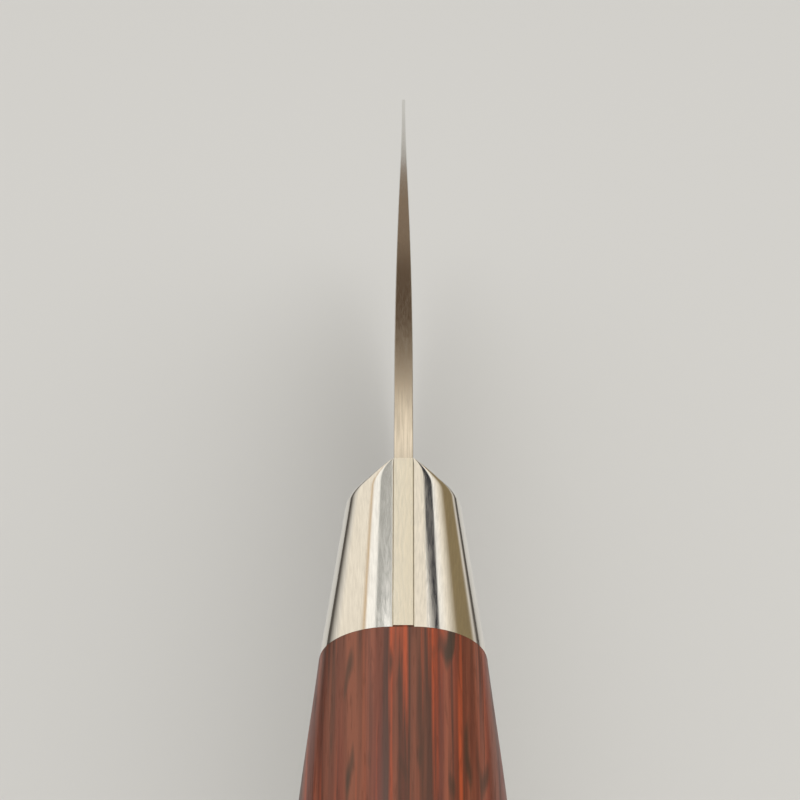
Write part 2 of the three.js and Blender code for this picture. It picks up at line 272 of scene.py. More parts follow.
class Graph:
    """A node tree with short calls for adding and linking nodes."""

    # The Mix node's sockets for colours share their names with others, so they go by number.
    MIX_SHARE, MIX_FIRST, MIX_SECOND, MIX_RESULT = 0, 6, 7, 2

    def __init__(self, tree: bpy.types.NodeTree) -> None:
        """Empties the tree."""
        self.tree = tree
        tree.nodes.clear()

    def node(self, kind: str, inputs: dict[str | int, Any] | None = None, **settings: Any) -> bpy.types.Node:
        """Adds a node.

        Args:
            kind: The node's type.
            inputs: What feeds it.
            settings: The node's own properties.

        Returns:
            The new node.
        """
        made = self.tree.nodes.new(kind)
        for key, value in settings.items():
            setattr(made, key, value)
        self.feed(made, inputs or {})
        return made

    def feed(self, node: bpy.types.Node, inputs: dict[str | int, Any]) -> None:
        """Sets a node's inputs.

        Args:
            node: The node.
            inputs: Values by socket name or number; a socket among them is linked.
        """
        for key, value in inputs.items():
            if isinstance(value, Socket):
                self.tree.links.new(value, node.inputs[key])
            else:
                node.inputs[key].default_value = value

    def value(self, operation: str, *operands: Socket | float) -> Socket:
        """A Math node's result."""
        return self.node("ShaderNodeMath", dict(enumerate(operands)), operation=operation).outputs[0]

    def ramp(self, factor: Socket, stops: Sequence[Stop]) -> Socket:
        """A colour ramp.

        Args:
            factor: The socket that drives it.
            stops: Positions and colours in order.

        Returns:
            The ramp's colour socket.
        """
        node = self.node("ShaderNodeValToRGB", {"Fac": factor})
        elements = node.color_ramp.elements
        while len(elements) < len(stops):
            elements.new(1.0)
        for element, (position, colour) in zip(elements, stops, strict=True):
            element.position = position
            element.color = (*colour, 1.0)
        return node.outputs["Color"]

    def mix(self, share: Socket, first: Colour | Socket, second: Colour | Socket) -> Socket:
        """Mixes two colours.

        Args:
            share: How much of the second colour shows.
            first: Colour or socket.
            second: Colour or socket.

        Returns:
            The mixed colour's socket.
        """
        inputs = {self.MIX_SHARE: share}
        for key, colour in ((self.MIX_FIRST, first), (self.MIX_SECOND, second)):
            inputs[key] = colour if isinstance(colour, Socket) else (*colour, 1.0)
        return self.node("ShaderNodeMix", inputs, data_type="RGBA").outputs[self.MIX_RESULT]

    def ranged(
        self, value: Socket, source: Sequence[Any] = UNIT, target: Span = UNIT, kind: str = "LINEAR"
    ) -> Socket:
        """Carries a value over from one span to another.

        Args:
            value: The socket that is read.
            source: The ends of the span that it comes from, as numbers or sockets.
            target: What these ends become.
            kind: How it runs between them.

        Returns:
            The socket of the new value.
        """
        inputs = {"Value": value}
        inputs["From Min"], inputs["From Max"] = source
        inputs["To Min"], inputs["To Max"] = target
        return self.node("ShaderNodeMapRange", inputs, interpolation_type=kind).outputs["Result"]

    def rising(self, value: Socket, span: Span) -> Socket:
        """0 before the span, 1 past it and a smooth rise between its ends."""
        return self.ranged(value, span, kind="SMOOTHSTEP")

    def relief(self, height: Socket, depth: float) -> Socket:
        """The normal of a surface with a relief of that depth in metres."""
        inputs = {"Height": height, "Strength": 1.0, "Distance": depth}
        return self.node("ShaderNodeBump", inputs).outputs["Normal"]


@dataclass(frozen=True)
class Grain:
    """How far a noise is drawn out, which of its values become 0 and 1, and how strongly it shows."""

    per_metre: PerAxis
    low: float
    high: float
    detail: float = 3.0
    share: float = 1.0


class LineNoise:
    """A node group of noise drawn out in one direction, for grain, grinding marks and buffing lines."""

    NAME = "line_noise"

    @classmethod
    def tree(cls) -> bpy.types.NodeTree:
        """Builds the group once.

        Returns:
            The group's node tree.
        """
        found = bpy.data.node_groups.get(cls.NAME)
        if found:
            return found
        tree = bpy.data.node_groups.new(cls.NAME, "ShaderNodeTree")
        for name in ("Vector", "Per metre"):
            tree.interface.new_socket(name, in_out="INPUT", socket_type="NodeSocketVector")
        for name in ("Detail", "Low", "High"):
            tree.interface.new_socket(name, in_out="INPUT", socket_type="NodeSocketFloat")
        tree.interface.new_socket("Value", in_out="OUTPUT", socket_type="NodeSocketFloat")
        graph = Graph(tree)
        given = graph.node("NodeGroupInput").outputs
        inputs = {0: given["Vector"], 1: given["Per metre"]}
        drawn = graph.node("ShaderNodeVectorMath", inputs, operation="MULTIPLY").outputs[0]
        inputs = {"Vector": drawn, "Scale": 1.0, "Detail": given["Detail"]}
        noise = graph.node("ShaderNodeTexNoise", inputs).outputs["Fac"]
        graph.node("NodeGroupOutput", {"Value": graph.ranged(noise, (given["Low"], given["High"]))})
        return tree

    @classmethod
    def place(cls, graph: Graph, vector: Socket, grain: Grain) -> Socket:
        """Places the group in a material.

        Args:
            graph: The material's graph.
            vector: Where the noise is read.
            grain: How the noise is drawn out and limited.

        Returns:
            The socket of its value.
        """
        inputs = {
            "Vector": vector,
            "Per metre": grain.per_metre,
            "Detail": grain.detail,
            "Low": grain.low,
            "High": grain.high,
        }
        return graph.node("ShaderNodeGroup", inputs, node_tree=cls.tree()).outputs["Value"]


def new_material(name: str) -> tuple[Material, Graph, bpy.types.Node, Socket]:
    """Starts a material.

    Args:
        name: The material's name.

    Returns:
        The material, its graph, its shader and the object coordinates.
    """
    material = bpy.data.materials.new(name)
    material.use_nodes = True
    graph = Graph(material.node_tree)
    shader = graph.node("ShaderNodeBsdfPrincipled")
    graph.node("ShaderNodeOutputMaterial", {"Surface": shader.outputs["BSDF"]})
    place = graph.node("ShaderNodeTexCoord").outputs["Object"]
    return material, graph, shader, place


@dataclass(frozen=True)
class MetalFinish:
    """A ground or polished metal with fine lines along the knife."""

    name: str
    dark: Colour
    light: Colour
    roughness_low: float
    roughness_high: float
    lines: Grain = Grain((60.0, 5200.0, 5200.0), 0.3, 0.7)
    relief: float = 4e-7
    haze: Grain = Grain((40.0, 160.0, 160.0), 0.35, 0.65, share=0.25)

    def material(self) -> Material:
        """Builds the metal.

        Returns:
            The material.
        """
        material, graph, shader, place = new_material(self.name)
        lines = LineNoise.place(graph, place, self.lines)
        haze = LineNoise.place(graph, place, self.haze)
        clear = graph.value("MULTIPLY", lines, 1 - self.haze.share)
        both = graph.value("MULTIPLY_ADD", haze, self.haze.share, clear)
        inputs = {
            "Base Color": graph.mix(both, self.dark, self.light),
            "Roughness": graph.ranged(both, target=(self.roughness_high, self.roughness_low)),
            "Normal": graph.relief(lines, self.relief),
            "Metallic": 1.0,
        }
        graph.feed(shader, inputs)
        return material


@dataclass(frozen=True)
class WoodFinish:
    """Lacquered red-brown hardwood with lengthwise streaks, dark flecks and fine pores."""

    name: str = "lacquered_red_wood"
    brown: Colour = (0.075, 0.026, 0.014)
    red: Colour = (0.2, 0.036, 0.016)
    orange: Colour = (0.38, 0.066, 0.02)
    pink: Colour = (0.29, 0.084, 0.042)
    vein: Colour = (0.06, 0.022, 0.014)
    fleck: Colour = (0.028, 0.021, 0.012)
    broad: Grain = Grain((7.0, 400.0, 400.0), 0.36, 0.62)
    pale: Grain = Grain((11.0, 900.0, 900.0), 0.42, 0.62, share=0.7)
    streaks: Grain = Grain((9.0, 1150.0, 1150.0), 0.55, 0.68)
    veins: Grain = Grain((12.0, 1700.0, 1700.0), 0.55, 0.68, share=0.8)
    flecks: Grain = Grain((90.0, 1100.0, 1100.0), 0.66, 0.77, detail=0.0, share=0.85)
    pores: Grain = Grain((200.0, 5000.0, 5000.0), 0.55, 0.75, share=0.4)
    tilt: float = math.radians(3.8)
    cut_from: PerAxis = (0.1, 0.013, 0.017)
    roughness_low: float = 0.42
    roughness_high: float = 0.58
    relief: float = 4e-6
    specular: float = 0.05
    coat: float = 0.2
    coat_roughness: float = 0.12

    def colour(self, graph: Graph, along: Socket, pores: Socket) -> Socket:
        """Lays streaks, veins, flecks and pores over the wood's broad tones.

        Args:
            graph: The material's graph.
            along: Coordinates along the handle.
            pores: The mask of the pores.

        Returns:
            The socket of the wood's colour.
        """
        colour = graph.mix(LineNoise.place(graph, along, self.broad), self.brown, self.red)
        layers = (
            (self.pale, self.pink),
            (self.streaks, self.orange),
            (self.veins, self.vein),
            (self.flecks, self.fleck),
        )
        for grain, tone in layers:
            mask = graph.value("MULTIPLY", LineNoise.place(graph, along, grain), grain.share)
            colour = graph.mix(mask, colour, tone)
        return graph.mix(graph.value("MULTIPLY", pores, self.pores.share), colour, self.vein)

    def material(self) -> Material:
        """Builds the wood, its grain along the handle.

        Returns:
            The material.
        """
        material, graph, shader, place = new_material(self.name)
        inputs = {"Vector": place, "Location": self.cut_from, "Rotation": (0.0, self.tilt, 0.0)}
        along = graph.node("ShaderNodeMapping", inputs).outputs["Vector"]
        pores = LineNoise.place(graph, along, self.pores)
        inputs = {
            "Base Color": self.colour(graph, along, pores),
            "Roughness": graph.ranged(pores, target=(self.roughness_low, self.roughness_high)),
            "Normal": graph.relief(graph.value("SUBTRACT", 1.0, pores), self.relief),
            "Specular IOR Level": self.specular,
            "Coat Weight": self.coat,
            "Coat Roughness": self.coat_roughness,
        }
        graph.feed(shader, inputs)
        return material


BLADE_STEEL = MetalFinish(
    name="ground_blade_steel",
    dark=(0.52, 0.5, 0.46),
    light=(0.66, 0.635, 0.585),
    lines=Grain((50.0, 7000.0, 7000.0), 0.3, 0.7),
    roughness_low=0.07,
    roughness_high=0.16,
    relief=3e-7,
)
TANG_STEEL = MetalFinish(
    name="polished_tang_steel",
    dark=(0.74, 0.69, 0.58),
    light=(0.84, 0.79, 0.66),
    roughness_low=0.06,
    roughness_high=0.14,
)
NICKEL_SILVER = MetalFinish(
    name="polished_nickel_silver",
    dark=(0.74, 0.71, 0.65),
    light=(0.92, 0.89, 0.82),
    roughness_low=0.04,
    roughness_high=0.12,
)
RIVET_METAL = MetalFinish(
    name="sanded_rivet_metal",
    dark=(0.62, 0.58, 0.5),
    light=(0.82, 0.78, 0.69),
    lines=Grain((110.0, 6000.0, 6000.0), 0.3, 0.7),
    roughness_low=0.14,
    roughness_high=0.28,
    relief=8e-7,
)


@dataclass(frozen=True)
class Layout:
    """Where the knife's main places lie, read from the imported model."""

    tip: float
    front: float
    joint: float
    butt: float
    spine: float

    @classmethod
    def from_frame(cls, step: float) -> "Layout":
        """Reads the places.

        Args:
            step: How far the bolster's front stands above the spine.

        Returns:
            The layout.
        """
        bolster_low, bolster_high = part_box("bolster_left")
        return cls(
            tip=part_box("blade")[1].x,
            front=bolster_high.x,
            joint=bolster_low.x,
            butt=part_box("handle")[0].x,
            spine=bolster_high.z - step,
        )


class Section(NamedTuple):
    """A section of bolster or handle, with its top and bottom measured from the spine's height."""

    half: float
    rise: float
    depth: float
    corner: float
    squareness: float


@dataclass(frozen=True)
class Sizes:
    """Sizes that more than one piece shares."""

    tang_half: float = 0.0009
    step: float = 0.0003
    joint: Section = Section(half=0.00725, rise=-0.00215, depth=0.0226, corner=0.003, squareness=5.0)
    crown: float = 0.012
    crown_steps: int = 40


@dataclass
class Bolster:
    """The bolster: two halves on the tang, with a nose that flares from the blade."""

    layout: Layout
    sizes: Sizes
    neck_depth: float = 0.0185
    nose_length: float = 0.0062
    nose_lip: float = 0.00005
    nose_corner_behind: float = 0.0038
    nose_corner_half: float = 0.004
    shoulder_half: float = 0.0053
    front_crown: float = 0.009
    chamfer: float = 0.00006
    chamfer_share_at_nose: float = 1 / 3
    nose_steps: int = 40
    flank_stations: int = 12

    @property
    def length(self) -> float:
        """Length from the front to the wood."""
        return self.layout.front - self.layout.joint

    def levels(self, behind: float) -> tuple[float, float]:
        """Heights of the bolster.

        Args:
            behind: Distance behind the bolster's front.

        Returns:
            Its top and its bottom.
        """
        share = behind / self.length
        sizes = self.sizes
        top = self.layout.spine + between(sizes.step, sizes.joint.rise, share)
        bottom = self.layout.spine - between(self.neck_depth + sizes.step, sizes.joint.depth, share)
        return top, bottom

    def plan(self) -> list[Point]:
        """Draws one flank seen from above.

        Returns:
            Pairs of distance behind the front and half width, from the joint to the front.
        """
        slope = (self.sizes.joint.half - self.shoulder_half) / (self.length - self.nose_length)
        third = self.nose_length / 3
        knots = [
            Vector((self.nose_length, self.shoulder_half)),
            Vector((self.nose_length - third, self.shoulder_half - slope * third)),
            Vector((self.nose_corner_behind, self.nose_corner_half)),
            Vector((0.0, self.sizes.tang_half + self.nose_lip)),
        ]
        points = []
        for behind in spread(self.length, self.nose_length, self.flank_stations)[:-1]:
            points.append((behind, self.shoulder_half + slope * (behind - self.nose_length)))
        for share in spread(0.0, 1.0, self.nose_steps):
            rest = 1 - share
            weights = (rest**3, 3 * rest**2 * share, 3 * rest * share**2, share**3)
            point = sum((knot * weight for knot, weight in zip(knots, weights)), Vector((0.0, 0.0)))
            points.append((point.x, point.y))
        return points

    def ring(self, behind: float, half: float, side: Side) -> Ring:
        """A ring round one half, with a small chamfer along the joint to the tang.

        Args:
            behind: Distance behind the bolster's front.
            half: Half width of the bolster there.
            side: Which half.

        Returns:
            The ring.
        """
        sizes = self.sizes
        inner = sizes.tang_half
        top, bottom = self.levels(behind)
        crown = between(self.front_crown, sizes.crown, behind / self.length)
        form = Form(half, top, bottom, sizes.joint.corner, sizes.joint.squareness, crown)
        flank = form.flank(inner, sizes.crown_steps)
        chamfer = min(self.chamfer, (half - inner) * self.chamfer_share_at_nose)
        flank[0], flank[-1] = (inner + chamfer, bottom), (inner + chamfer, top)
        outline = [(inner, bottom + chamfer), *flank, (inner, top - chamfer)]
        x = self.layout.front - behind
        return [Vector((x, side.value * y, z)) for y, z in outline]

    def half(self, side: Side) -> Mesh:
        """Models one half."""
        return loft([self.ring(behind, half, side) for behind, half in self.plan()])

    def build(self, metal: Material) -> None:
        """Builds both halves and dresses them and their pins.

        Args:
            metal: Their finish.
        """
        for side in Side:
            name, nodes = f"bolster_half_{side.word}", [f"bolster_{side.word}"]
            make_piece(name, self.half(side), nodes, Slot.BOLSTER, metal)
        for name in ("bolster_pin_upper", "bolster_pin_lower"):
            dress_node(name, metal)


def dress_node(name: str, material: Material) -> None:
    """Gives a carried-over construction node its finish.

    Args:
        name: The node.
        material: Its finish.
    """
    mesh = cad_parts[name].data
    mesh.materials.clear()
    mesh.materials.append(material)
    log.info("%s: carried over in %s", name, material.name)


@dataclass
class Handle:
    """The handle: one block of wood with a palm swell, a waist and a rounded butt."""

    layout: Layout
    sizes: Sizes
    swell_behind: float = 0.036
    swell: Section = Section(half=0.0092, rise=-0.0044, depth=0.0274, corner=0.005, squareness=3.0)
    waist_before_butt: float = 0.036
    waist: Section = Section(half=0.0086, rise=-0.0064, depth=0.0276, corner=0.005, squareness=3.0)
    butt: Section = Section(half=0.0096, rise=-0.0088, depth=0.033, corner=0.006, squareness=3.0)
    butt_round: float = 0.006
    tongue_length: float = 0.0003
    tongue_low: float = 0.0066
    tongue_recess: float = 0.00012
    edge_round: float = 0.00006
    stations: int = 90
    butt_steps: int = 18
    knots: dict[float, Section] = field(init=False)

    def __post_init__(self) -> None:
        """Lines up the sections by their distance behind the joint."""
        self.knots = {
            0.0: self.sizes.joint,
            self.swell_behind: self.swell,
            self.length - self.waist_before_butt: self.waist,
            self.length - self.butt_round: self.butt,
        }

    @property
    def length(self) -> float:
        """Length from the joint to the butt."""
        return self.layout.joint - self.layout.butt

    def form(self, behind: float) -> Form:
        """The section at a distance behind the joint, on smooth curves through the knots.

        Args:
            behind: Distance behind the joint.

        Returns:
            The section.
        """
        columns = zip(*self.knots.values())
        there = Section(*(on_curve(list(self.knots), column, behind) for column in columns))
        top, bottom = self.layout.spine + there.rise, self.layout.spine - there.depth
        return Form(there.half, top, bottom, there.corner, there.squareness, self.sizes.crown)

    def ring(self, x: float, form: Form) -> Ring:
        """A whole section as a ring, up the left side and down the right."""
        left = form.flank(self.sizes.tang_half, self.sizes.crown_steps)
        return [Vector((x, y, z)) for y, z in left + [(-y, z) for y, z in reversed(left)]]

    def tongue(self, x: float, ring: Ring) -> Ring:
        """Draws a ring in to the tongue of wood that fills the tang's step between the bolster halves.

        Args:
            x: Where the drawn-in ring lies.
            ring: The ring at the joint.

        Returns:
            The tongue's outline with as many points.
        """
        high = self.layout.spine + self.sizes.joint.rise - self.tongue_recess
        low = self.layout.spine - self.tongue_low
        reach, middle = (high - low) / 2, (high + low) / 2
        points = []
        for point in ring:
            across, up = abs(point.y), abs(point.z - middle)
            share = min(self.sizes.tang_half / max(across, TINY), reach / max(up, TINY))
            points.append(Vector((x, point.y * share, middle + (point.z - middle) * share)))
        return points

    def block(self) -> Mesh:
        """Models the wood from the butt to its tongue.

        Returns:
            Its mesh.
        """
        joint = self.layout.joint
        end = self.form(self.length - self.butt_round)
        rings = []
        for angle in spread(QUARTER_TURN, 0.0, self.butt_steps)[:-1]:
            inset = self.butt_round * (1 - math.cos(angle))
            x = self.layout.butt + self.butt_round * (1 - math.sin(angle))
            rings.append(self.ring(x, end.inset(inset)))
        for behind in spread(self.length - self.butt_round, self.edge_round, self.stations):
            rings.append(self.ring(joint - behind, self.form(behind)))
        rings.append(self.ring(joint, self.form(0.0).inset(self.edge_round)))
        rings.append(self.tongue(joint, rings[-1]))
        rings.append(self.tongue(joint + self.tongue_length, rings[-1]))
        return loft(rings)

    def build(self, wood: Material) -> None:
        """Builds the block and dresses it."""
        make_piece("handle_block", self.block(), ["handle"], Slot.HANDLE, wood)


@dataclass
class Rivets:
    """The rivets: three across the handle, each with a flush head on both sides."""

    handle: Handle
    head_radius: float = 0.004
    seat: float = 0.0062
    first_behind_joint: float = 0.017
    first_depth: float = 0.0136
    last_before_butt: float = 0.024
    last_depth: float = 0.0182
    proud: float = 0.00003
    edge_round: float = 0.00012
    ring_count: int = 8
    sides: int = 64
    halves: dict[Side, str] = field(default_factory=lambda: {Side.LEFT: "female", Side.RIGHT: "male"})

    def places(self) -> dict[str, Vector]:
        """Places the rivets evenly along the handle.

        Returns:
            The middle of each rivet, by name.
        """
        layout = self.handle.layout
        first = Vector((layout.joint - self.first_behind_joint, 0.0, layout.spine - self.first_depth))
        last = Vector((layout.butt + self.last_before_butt, 0.0, layout.spine - self.last_depth))
        return {"front": first, "middle": (first + last) / 2, "rear": last}

    def cap(self, centre: Vector) -> Mesh:
        """Turns the outer face of a head, still flat, about the rivet's axis.

        Args:
            centre: The rivet's middle.

        Returns:
            Its open mesh.
        """
        bm = bmesh.new()
        radii = spread(0.0, self.head_radius - self.edge_round, self.ring_count)
        profile = [(radius, self.proud) for radius in radii]
        profile.append((self.head_radius, self.proud - self.edge_round))
        verts = [bm.verts.new(centre + Vector((radius, height, 0.0))) for radius, height in profile]
        edges = [bm.edges.new(pair) for pair in zip(verts, verts[1:])]
        turn = {"cent": centre, "axis": (0.0, 1.0, 0.0), "angle": math.tau, "steps": self.sides}
        bmesh.ops.spin(bm, geom=verts + edges, use_merge=True, **turn)
        bmesh.ops.remove_doubles(bm, verts=bm.verts, dist=MERGE_DISTANCE)
        return bm

    def head(self, centre: Vector, side: Side) -> Mesh:
        """Models a head that follows the wood.

        Args:
            centre: The rivet's middle.
            side: The side of the head.

        Returns:
            Its mesh.
        """
        handle = self.handle
        bm = self.cap(centre)
        for vert in bm.verts:
            form = handle.form(handle.layout.joint - vert.co.x)
            vert.co.y = side.value * (vert.co.y + form.flank_at(handle.sizes.tang_half, vert.co.z))
        verts, edges = extrude(bm, [edge for edge in bm.edges if edge.is_boundary])
        for vert in verts:
            vert.co.y = side.value * self.seat
        bmesh.ops.edgeloop_fill(bm, edges=edges)
        bmesh.ops.recalc_face_normals(bm, faces=bm.faces)
        return bm

    def build(self, metal: Material) -> None:
        """Builds all heads and dresses them.

        Args:
            metal: Their finish.
        """
        for name, centre in self.places().items():
            for side, half in self.halves.items():
                title, nodes = f"rivet_head_{name}_{side.word}", [f"rivet_{name}_{half}"]
                make_piece(title, self.head(centre, side), nodes, Slot.RIVET, metal)


@dataclass(frozen=True)
class Grind:
    """The blade's side at one place: eased spine, nearly flat band and convex part down to the bevel."""

    half: float
    slope: float
    ease: float
    line: float
    width: float
    bulge: float

    def half_at(self, depth: float) -> float:
        """Finds the half thickness.

        Args:
            depth: Depth below the spine.

        Returns:
            The half thickness there.
        """
        flat = self.half - self.slope * depth
        if depth < self.ease:
            return flat - self.ease + math.sqrt(self.ease**2 - (self.ease - depth) ** 2)
        return flat - self.bulge * (max(0.0, depth - self.line) / self.width) ** 2


@dataclass
class Blade:
    """The blade: the ground blade, its neck and the tang through bolster and handle."""

    layout: Layout
    sizes: Sizes
    bolster: Bolster
    handle: Handle
    edge_length: float = 0.180
    tip_drop: float = 0.024
    spine_power: float = 1.9
    flat_edge: float = 0.035
    belly_power: float = 3.6
    tip_blunt: float = 0.0005
    choil_radius: float = 0.008
    tip_half: float = 0.0002
    taper_start: float = 0.015
    taper_end: float = 0.160
    spine_ease: float = 0.0001
    flat_slope_per_half: float = 11.0
    grind_start: float = -0.008
    grind_full: float = 0.010
    grind_width: float = 0.022
    bevel_height: float = 0.0006
    bevel_half: float = 0.00015
    grind_share_at_tip: float = 0.55
    bevel_share_at_tip: float = 0.25
    ease_share_at_tip: float = 0.15
    tang_before_butt: float = 0.011
    tang_sink_front: float = 0.0072
    tang_sink_rear: float = 0.0135
    tang_proud: float = 0.00002
    tang_ease: float = 0.00006
    tang_gap: float = 0.00002
    ease_steps: int = 5
    flat_steps: int = 4
    grind_steps: int = 18
    rear_stations: int = 16
    blade_stations: int = 90
    choil_stations: int = 24
    choil_crowding: float = 2.0
    neck_steps: int = 2
    tip_crowding: float = 1.4

    @property
    def heel(self) -> float:
        """Where the heel lies along the knife."""
        return self.layout.tip - self.edge_length

    @property
    def neck(self) -> float:
        """Where the bolster's front lies, as a distance from the heel."""
        return self.layout.front - self.heel

    def edge_height(self, x: float) -> float:
        """Height of the cutting edge at a distance from the heel."""
        share = max(0.0, (x - self.flat_edge) / (self.edge_length - self.flat_edge))
        return (self.layout.spine - self.tip_drop) * share**self.belly_power

    def spine_height(self, x: float) -> float:
        """Height of the spine at a distance from the heel."""
        share = max(0.0, (x - self.neck) / (self.edge_length - self.neck))
        return self.layout.spine - (self.tip_drop - self.tip_blunt) * share**self.spine_power

    def spine_half(self, x: float) -> float:
        """Half thickness of the spine at a distance from the heel."""
        return between(self.sizes.tang_half, self.tip_half, eased(x, self.taper_start, self.taper_end))

    def underside(self, x: float) -> float:
        """Finds the lowest height of the steel: edge, choil or neck.

        Args:
            x: Distance from the heel.

        Returns:
            The height there.
        """
        if x >= 0:
            return self.edge_height(x)
        neck = self.layout.spine - self.bolster.neck_depth
        reach = min(self.choil_radius, x + self.choil_radius)
        if reach <= 0:
            return neck
        return neck - self.choil_radius + math.sqrt(self.choil_radius**2 - reach**2)

    def grind(self, x: float) -> Grind:
        """Works out the grind.

        Args:
            x: Distance from the heel.

        Returns:
            The grind there.
        """
        height = self.spine_height(x) - self.edge_height(x)
        half = self.spine_half(x)
        slope = self.flat_slope_per_half * half * eased(x, self.grind_start, self.grind_full)
        bevel = min(self.bevel_height, self.bevel_share_at_tip * height)
        width = min(self.grind_width, self.grind_share_at_tip * height)
        return Grind(
            half=half,
            slope=slope,
            ease=min(self.spine_ease, self.ease_share_at_tip * height, half / 2),
            line=height - bevel - width,
            width=width,
            bulge=half - slope * (height - bevel) - min(self.bevel_half, half / 2),
        )

    def side(self, x: float, floor: float) -> list[Point]:
        """Draws the left side of the ground blade from the spine down.

        Args:
            x: Distance from the heel.
            floor: Height below which the side is cut off.

        Returns:
            The side's points as (y, z).
        """
        top = self.spine_height(x)
        grind = self.grind(x)
        depths = [grind.ease * (1 - math.cos(angle)) for angle in spread(0.0, QUARTER_TURN, self.ease_steps)]
        depths += spread(grind.ease, grind.line, self.flat_steps)[1:]
        depths += spread(grind.line, grind.line + grind.width, self.grind_steps)[1:]
        depths = [min(depth, top - floor) for depth in depths]
        return [(grind.half_at(depth), top - depth) for depth in depths]

    @staticmethod
    def ring(x: float, left: Sequence[Point], bottom: float) -> Ring:
        """A ring of the middle of the bottom, a left side from the top down and its mirror image."""
        outline = [(0.0, bottom), *reversed(left), *((-y, z) for y, z in left)]
        return [Vector((x, y, z)) for y, z in outline]

    def ground_ring(self, x: float, floor: float) -> Ring:
        """A ring round the ground blade or the neck at a distance from the heel."""
        return self.ring(self.heel + x, self.side(x, floor), floor)

    def tang_ring(self, x: float, top: float, bottom: float) -> Ring:
        """A ring round the tang.

        Args:
            x: Where it lies along the knife.
            top: Its top.
            bottom: Its bottom.

        Returns:
            The ring, with as many points as the ground blade's.
        """
        half = self.sizes.tang_half - self.tang_gap
        left = []
        for angle in spread(0.0, QUARTER_TURN, self.ease_steps):
            y = half - self.tang_ease * (1 - math.sin(angle))
            left.append((y, top - self.tang_ease * (1 - math.cos(angle))))
        below = top - self.tang_ease
        left += [(half, z) for z in spread(below, bottom, self.flat_steps + self.grind_steps)[1:]]
        return self.ring(x, left, bottom)

    def tang_rings(self) -> list[Ring]:
        """Lines up rings along the tang.

        Returns:
            The rings, from the tang's end to the bolster's front.
        """
        layout = self.layout
        end = self.handle.length - self.tang_before_butt
        rings = []
        for behind in spread(end, 0.0, self.rear_stations):
            sunk = layout.spine - between(self.tang_sink_front, self.tang_sink_rear, behind / end)
            bottom = self.handle.form(behind).bottom - self.tang_proud
            rings.append(self.tang_ring(layout.joint - behind, sunk, bottom))
        shoulder = self.bolster.length - self.handle.tongue_length
        sunk = layout.spine - self.tang_sink_front
        rings.append(self.tang_ring(layout.front - shoulder, sunk, self.bolster.levels(shoulder)[1]))
        for behind in (shoulder, 0.0):
            rings.append(self.tang_ring(layout.front - behind, *self.bolster.levels(behind)))
        return rings

    def steel(self) -> Mesh:
        """Models the blade in one piece with its tang.

        Returns:
            Its mesh.
        """
        rings = self.tang_rings()
        stations = spread(self.neck, -self.choil_radius, self.neck_steps)[:-1]
        stations += spread(-self.choil_radius, 0.0, self.choil_stations, self.choil_crowding)
        rings += [self.ground_ring(x, self.underside(min(x, -TINY))) for x in stations]
        stations = spread(0.0, self.edge_length, self.blade_stations, self.tip_crowding)
        rings += [self.ground_ring(x, self.underside(x)) for x in stations]
        bm = loft(rings)
        for face in bm.faces:
            face.material_index = int(face.calc_center_median().x < self.layout.front)
        return bm

    def build(self, steel: Material, polished: Material) -> None:
        """Builds the blade and dresses it, the tang polished together with the bolster."""
        make_piece("blade_and_tang", self.steel(), ["blade"], Slot.BLADE, steel, polished)


class Sky(Graph):
    """The world's graph with a ray's direction: its parts, and its turn about the knife from straight up."""

    def __init__(self, tree: bpy.types.NodeTree) -> None:
        """Empties the tree and reads the ray's direction.

        Args:
            tree: The world's node tree.
        """
        super().__init__(tree)
        direction = self.node("ShaderNodeTexCoord").outputs["Generated"]
        self.x, self.y, self.z = self.node("ShaderNodeSeparateXYZ", {"Vector": direction}).outputs
        self.turn = self.value("ARCTAN2", self.y, self.z)


